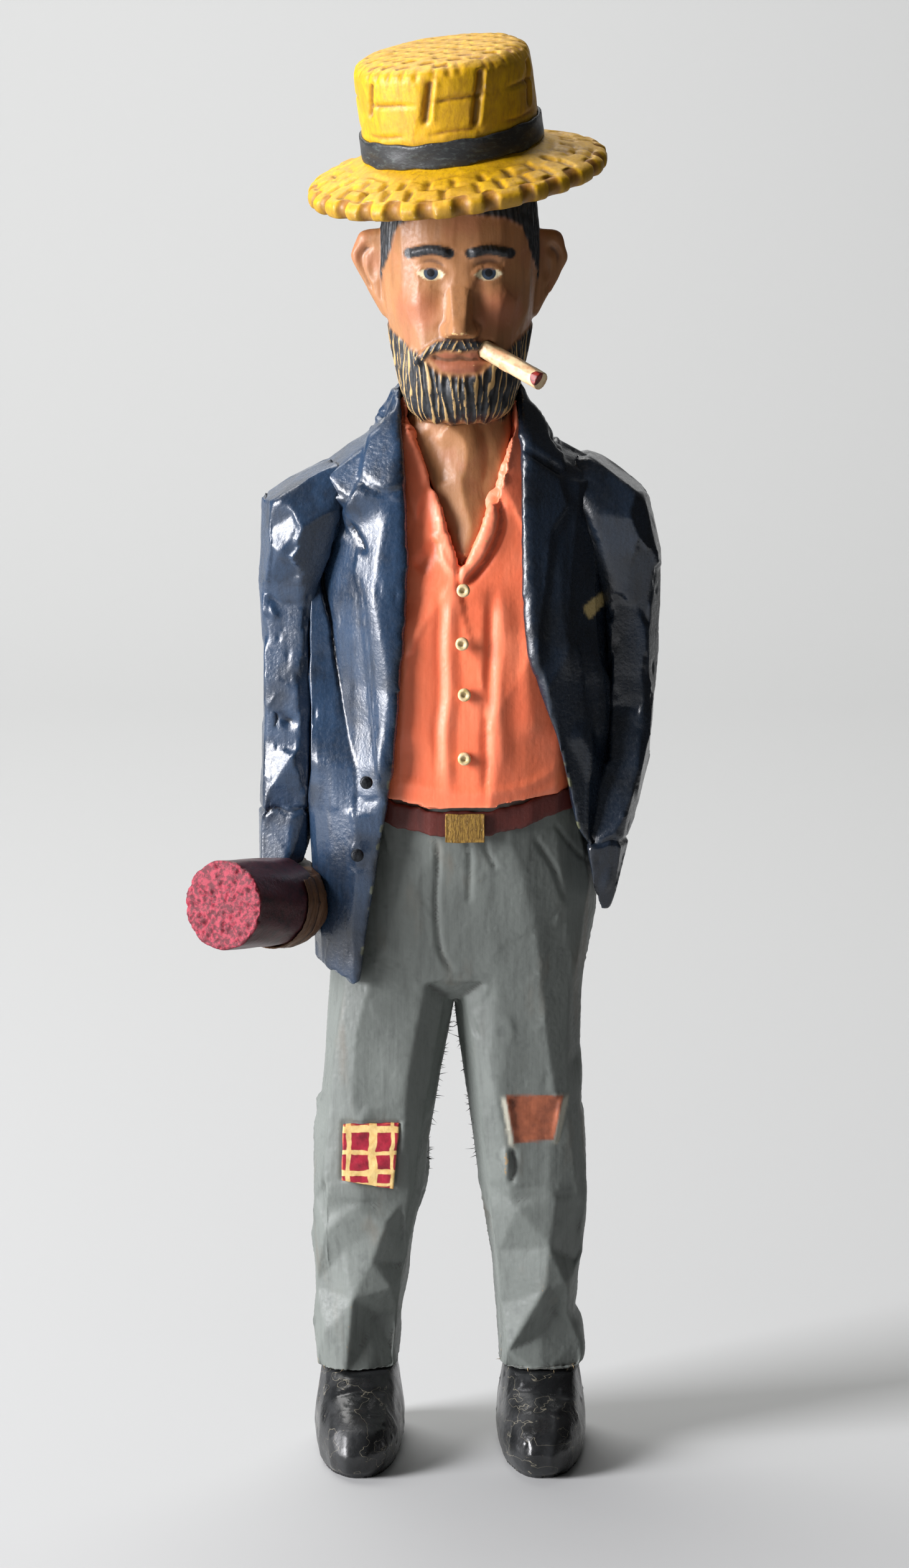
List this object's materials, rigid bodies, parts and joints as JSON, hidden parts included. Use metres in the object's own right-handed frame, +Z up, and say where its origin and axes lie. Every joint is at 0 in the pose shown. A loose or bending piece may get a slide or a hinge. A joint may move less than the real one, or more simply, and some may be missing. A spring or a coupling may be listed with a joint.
{
  "type": "carved wooden figurine",
  "caption": "Standing folk-art wooden figurine of a bearded man in a straw boater, open jacket and patched trousers, with a round roll in one hand.",
  "frame": {"origin": "bottom centre of the bounding box, on the surface the figurine stands on", "axes": "+Z up, the figure faces -Y, +X towards the figure's left hand"},
  "size_m": [0.0822, 0.054, 0.2503],
  "materials": {
    "straw_paint": "yellow acrylic paint over carved wood, brown wash in the cuts",
    "black_paint": "glossy black enamel over carved wood",
    "bare_wood": "bare turned beech",
    "skin_paint": "satin flesh paint over carved wood",
    "cream_paint": "cream paint",
    "orange_paint": "satin orange paint over carved wood",
    "navy_paint": "glossy navy blue paint over carved wood, worn at the edges",
    "dark_brads": "darkened round brad heads",
    "roll_paint": "dark red stain with a pitted pink-red end",
    "brown_paint": "satin brown paint",
    "gold_paint": "old gold paint",
    "grey_paint": "matt grey paint over carved wood",
    "patch_paint": "red paint with a cream hand-painted check"
  },
  "bodies": {
    "root": {"head": "skin_paint", "cigarette": "cream_paint", "neck_dowel": "bare_wood", "shirt": "orange_paint", "shirt_buttons": "cream_paint", "jacket": "navy_paint", "jacket_buttons": "dark_brads", "right_sleeve": "navy_paint", "left_sleeve": "navy_paint", "shoulder_dowels": "bare_wood", "right_hand": "skin_paint", "wrist_dowel": "bare_wood", "carried_roll": "roll_paint", "belt": "brown_paint", "belt_buckle": "gold_paint", "waist_dowel": "bare_wood", "trousers": "grey_paint", "knee_patch": "patch_paint", "left_shoe": "black_paint", "right_shoe": "black_paint", "ankle_dowels": "bare_wood"},
    "peg": {"hat_peg": "bare_wood"},
    "hat": {"hat": "straw_paint", "hat_band": "black_paint"}
  },
  "joints": [
    {"name": "hat_turn", "type": "hinge", "parent": "root", "child": "peg", "pos_m": [0.00586, 0.00156, 0.2246], "axis": [-0.1371, -0.1736, 0.9752], "continuous": true},
    {"name": "hat_lift", "type": "slide", "parent": "peg", "child": "hat", "axis": [-0.1371, -0.1736, 0.9752], "range_m": [0, 0.016]}
  ]
}
